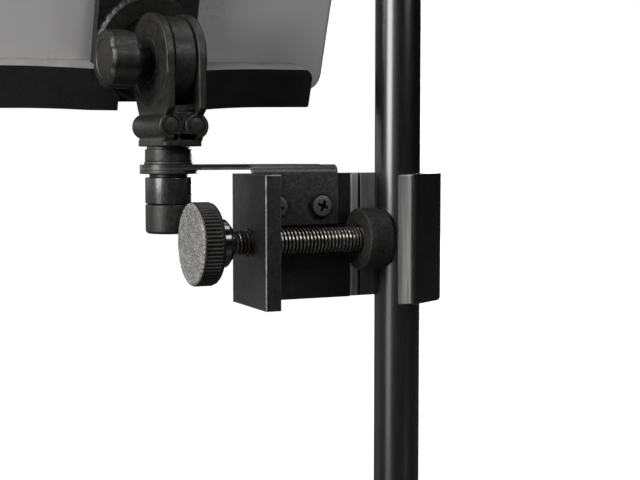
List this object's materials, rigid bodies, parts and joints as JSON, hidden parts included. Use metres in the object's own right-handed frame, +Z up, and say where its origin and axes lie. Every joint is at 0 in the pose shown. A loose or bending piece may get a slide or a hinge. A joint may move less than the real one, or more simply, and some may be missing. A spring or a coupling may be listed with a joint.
{
  "type": "tablet teleprompter on pole clamp",
  "caption": "Tablet teleprompter: screw clamp on a round pole section, flat steel arm, panning and tilting head, turning cradle with a sprung top arm and a tablet.",
  "frame": {"origin": "centre of the pole section's lower end face", "axes": "+Z up the pole; +X along the clamping screw, from its knob to the pole; +Y from the clamp's open side to its web"},
  "size_m": [0.1921, 0.1043, 0.4011],
  "materials": {
    "pole_black": "satin powder coat",
    "frame_black": "fine textured powder coat",
    "gloss_black": "gloss",
    "black_plastic": "fine moulded texture",
    "dark_steel": "black oxide",
    "bright_steel": "satin",
    "rubber": "matte",
    "grey_liner": "satin grey",
    "dark_liner": "matte",
    "tablet_grey": "semi-gloss grey",
    "tablet_glass": "polished black",
    "button_grey": "satin"
  },
  "bodies": {
    "pole": {"pole_tube": "pole_black", "pole_bottom_plug": "dark_steel", "pole_top_collar": "dark_steel", "pole_top_stud": "bright_steel"},
    "clamp": {"clamp_frame": "frame_black", "jaw_liner_front": "grey_liner", "jaw_liner_back": "dark_liner", "jaw_trim_strip": "grey_liner", "arm_plate": "frame_black", "tab_screw_left": "dark_steel", "tab_screw_right": "dark_steel", "eye_washer": "dark_steel", "lock_washer": "bright_steel"},
    "foot": {"foot_pad": "rubber", "foot_cup": "bright_steel"},
    "screw": {"knob": "black_plastic", "knob_hub": "gloss_black", "clamp_screw": "dark_steel"},
    "head": {"head_stud": "bright_steel", "neck_washer": "dark_steel", "head_neck": "black_plastic", "yoke": "black_plastic", "lobe_cap_left": "black_plastic", "lobe_cap_right": "black_plastic", "tilt_bolt": "dark_steel"},
    "pan_nut": {"pan_nut": "gloss_black", "pan_nut_cap": "black_plastic"},
    "tilt_knob": {"tilt_knob": "black_plastic"},
    "tilt": {"knuckle": "black_plastic", "hub_screw": "dark_steel"},
    "cradle": {"hub_disc": "black_plastic", "spine": "frame_black", "bottom_lip": "black_plastic", "lip_pad": "rubber", "spring_cover": "black_plastic", "spine_pad_left": "rubber", "spine_pad_right": "rubber", "return_spring_left": "bright_steel", "return_spring_right": "bright_steel", "tablet_shell": "tablet_grey", "tablet_glass": "tablet_glass", "camera_ring": "gloss_black"},
    "top_arm": {"top_arm": "dark_steel", "top_hook": "black_plastic", "top_hook_pad": "rubber", "hook_rivet_left": "bright_steel", "hook_rivet_right": "bright_steel"},
    "power_button": {"power_button": "button_grey"},
    "volume_down": {"volume_down": "button_grey"},
    "volume_up": {"volume_up": "button_grey"}
  },
  "joints": [
    {"name": "clamp_slide", "type": "slide", "parent": "pole", "child": "clamp", "axis": [0, 0, 1], "range_m": [-0.012, 0.055]},
    {"name": "foot_travel", "type": "slide", "parent": "clamp", "child": "foot", "axis": [-1, 0, 0], "range_m": [0, 0.003]},
    {"name": "screw_turn", "type": "hinge", "parent": "foot", "child": "screw", "pos_m": [-0.05, 0, 0.102], "axis": [-1, 0, 0], "range_deg": [0, 720]},
    {"name": "head_pan", "type": "hinge", "parent": "clamp", "child": "head", "pos_m": [-0.086, 0.0252, 0.1276], "axis": [0, 0, 1], "range_deg": [-4, 90]},
    {"name": "pan_nut_turn", "type": "hinge", "parent": "head", "child": "pan_nut", "pos_m": [-0.086, 0.0252, 0.1176], "axis": [0, 0, -1], "range_deg": [0, 90]},
    {"name": "tilt_knob_turn", "type": "hinge", "parent": "head", "child": "tilt_knob", "pos_m": [-0.10587, 0.02297, 0.1704], "axis": [-0.9938, -0.1115, 0], "range_deg": [0, 360]},
    {"name": "head_tilt", "type": "hinge", "parent": "head", "child": "tilt", "pos_m": [-0.086, 0.0252, 0.1704], "axis": [0.9938, 0.1115, 0], "range_deg": [-14, 12]},
    {"name": "cradle_turn", "type": "hinge", "parent": "tilt", "child": "cradle", "pos_m": [-0.08812, 0.04409, 0.17663], "axis": [0.1059, -0.9443, -0.3115], "range_deg": [-1.3, 88.7]},
    {"name": "top_arm_slide", "type": "slide", "parent": "cradle", "child": "top_arm", "axis": [0.0122, -0.312, 0.95], "range_m": [0, 0.025], "stiffness_N_per_m": 120, "springref_m": -0.02},
    {"name": "power_press", "type": "slide", "parent": "cradle", "child": "power_button", "axis": [-0.0122, 0.312, -0.95], "range_m": [0, 0.0004], "stiffness_N_per_m": 600, "springref_m": -0.0002},
    {"name": "volume_down_press", "type": "slide", "parent": "cradle", "child": "volume_down", "axis": [-0.9943, -0.1044, -0.0216], "range_m": [0, 0.0004], "stiffness_N_per_m": 600, "springref_m": -0.0002},
    {"name": "volume_up_press", "type": "slide", "parent": "cradle", "child": "volume_up", "axis": [-0.9943, -0.1044, -0.0216], "range_m": [0, 0.0004], "stiffness_N_per_m": 600, "springref_m": -0.0002}
  ],
  "couplings": [
    {"joint": "screw_turn", "follows": "foot_travel", "rad_per_m": 4188.8}
  ]
}
